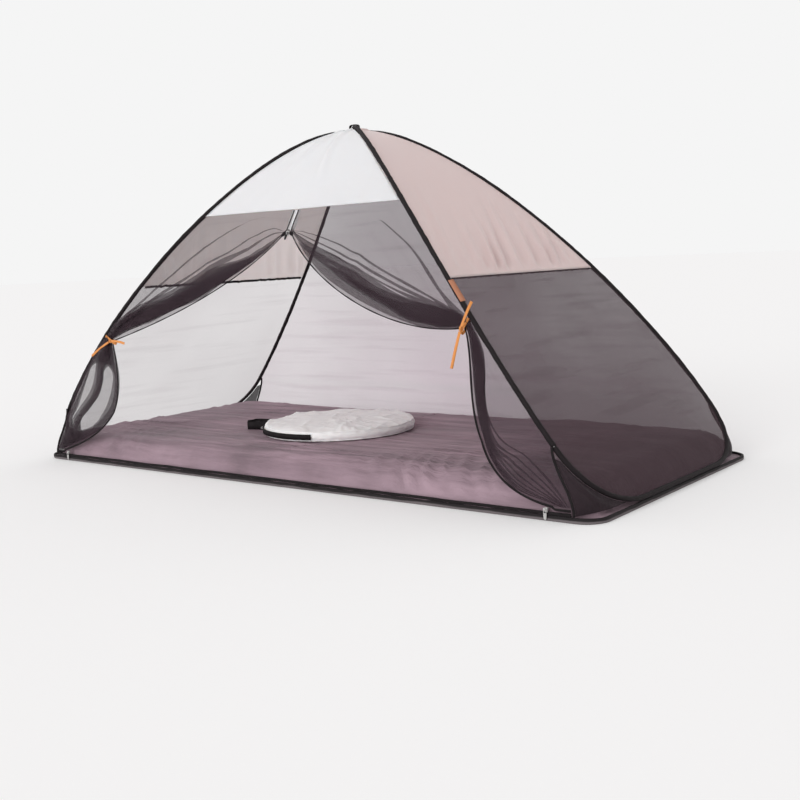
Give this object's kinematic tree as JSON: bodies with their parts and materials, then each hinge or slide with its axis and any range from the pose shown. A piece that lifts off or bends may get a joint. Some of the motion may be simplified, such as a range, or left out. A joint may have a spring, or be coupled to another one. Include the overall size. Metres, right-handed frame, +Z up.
{
  "type": "pop-up bed tent",
  "caption": "Pop-up bed tent of crossed spring-wire arches with mesh walls, a tied-back zipped door and a round carry bag.",
  "frame": {"origin": "on the ground, below the middle of the part", "axes": "+Z up, +X along the bed to the right as seen from the door, the door faces -Y"},
  "size_m": [1.9734, 0.8892, 0.9676],
  "materials": {
    "sleeve_cloth": "dark satin weave",
    "white_cloth": "coated white cloth",
    "beige_cloth": "thin lining cloth",
    "grey_mesh": "fine net",
    "floor_cloth": "coated ripstop",
    "black_tape": "woven tape",
    "steel": "plated",
    "black_metal": "satin black",
    "orange_ribbon": "satin ribbon",
    "bag_cloth": "coated cloth"
  },
  "bodies": {
    "tent": {"spring_wire_a": "steel", "spring_wire_b": "steel", "wire_ferrule_left": "steel", "wire_ferrule_right": "steel", "arch_sleeve_a": "sleeve_cloth", "arch_sleeve_b": "sleeve_cloth", "end_sleeve_left": "sleeve_cloth", "end_sleeve_right": "sleeve_cloth", "apex_band": "sleeve_cloth", "front_upper_panel": "white_cloth", "back_upper_panel": "beige_cloth", "left_upper_panel": "beige_cloth", "right_upper_panel": "beige_cloth", "back_mesh_wall": "grey_mesh", "left_mesh_wall": "grey_mesh", "right_mesh_wall": "grey_mesh", "seam_binding_back": "black_tape", "seam_binding_left": "black_tape", "seam_binding_right": "black_tape", "corner_binding_front_left": "black_tape", "corner_binding_front_right": "black_tape", "corner_binding_back_left": "black_tape", "corner_binding_back_right": "black_tape", "corner_gusset_front_left": "grey_mesh", "corner_gusset_front_right": "grey_mesh", "corner_gusset_back_left": "grey_mesh", "corner_gusset_back_right": "grey_mesh", "base_hem": "black_tape", "floor_sheet": "floor_cloth", "left_door_curtain": "grey_mesh", "right_door_curtain": "grey_mesh", "left_door_zip_tape": "black_tape", "right_door_zip_tape": "black_tape", "bottom_zip_tape": "black_tape", "zip_top_stop": "black_tape", "left_tie_loop": "orange_ribbon", "left_tie_knot": "orange_ribbon", "left_tie_tail_outer": "orange_ribbon", "left_tie_tail_inner": "orange_ribbon", "right_tie_loop": "orange_ribbon", "right_tie_knot": "orange_ribbon", "right_tie_tail_upper": "orange_ribbon", "right_tie_tail_lower": "orange_ribbon", "arch_tab": "orange_ribbon"},
    "left_slider": {"left_zip_slider": "steel"},
    "left_pull": {"left_zip_pull": "steel"},
    "right_slider": {"right_zip_slider": "steel"},
    "right_pull": {"right_zip_pull": "steel"},
    "top_slider": {"top_zip_slider": "steel"},
    "top_pull": {"top_zip_pull": "black_metal"},
    "bag": {"bag_top_panel": "bag_cloth", "bag_bottom_panel": "bag_cloth", "bag_gusset": "bag_cloth", "bag_zip_tape": "black_tape", "bag_strap": "black_tape"},
    "bag_slider": {"bag_zip_slider": "steel"},
    "bag_pull": {"bag_zip_pull": "steel"}
  },
  "joints": [
    {"name": "left_slider_travel", "type": "slide", "parent": "tent", "child": "left_slider", "axis": [1, 0, 0], "range_m": [0, 0.85]},
    {"name": "left_pull_swing", "type": "hinge", "parent": "left_slider", "child": "left_pull", "pos_m": [-0.863, -0.4419, 0.0251], "axis": [-1, 0, 0], "range_deg": [0, 100]},
    {"name": "right_slider_travel", "type": "slide", "parent": "tent", "child": "right_slider", "axis": [-1, 0, 0], "range_m": [0, 0.844]},
    {"name": "right_pull_swing", "type": "hinge", "parent": "right_slider", "child": "right_pull", "pos_m": [0.857, -0.4419, 0.0251], "axis": [-1, 0, 0], "range_deg": [0, 100]},
    {"name": "top_slider_travel", "type": "slide", "parent": "tent", "child": "top_slider", "axis": [0, -0.2229, -0.9748], "range_m": [0, 0.625]},
    {"name": "top_pull_swing", "type": "hinge", "parent": "top_slider", "child": "top_pull", "pos_m": [0, -0.30127, 0.66535], "axis": [-1, 0, 0], "range_deg": [0, 100]},
    {"name": "bag_lift", "type": "slide", "parent": "tent", "child": "bag", "axis": [0, 0, 1], "range_m": [0, 0.25]},
    {"name": "bag_slider_travel", "type": "hinge", "parent": "bag", "child": "bag_slider", "pos_m": [-0.092, -0.0234, 0.0966], "axis": [0, 0, 1], "range_deg": [0, 70]},
    {"name": "bag_pull_swing", "type": "hinge", "parent": "bag_slider", "child": "bag_pull", "pos_m": [-0.28345, -0.15746, 0.0966], "axis": [0, 0, -1], "range_deg": [0, 100]}
  ]
}
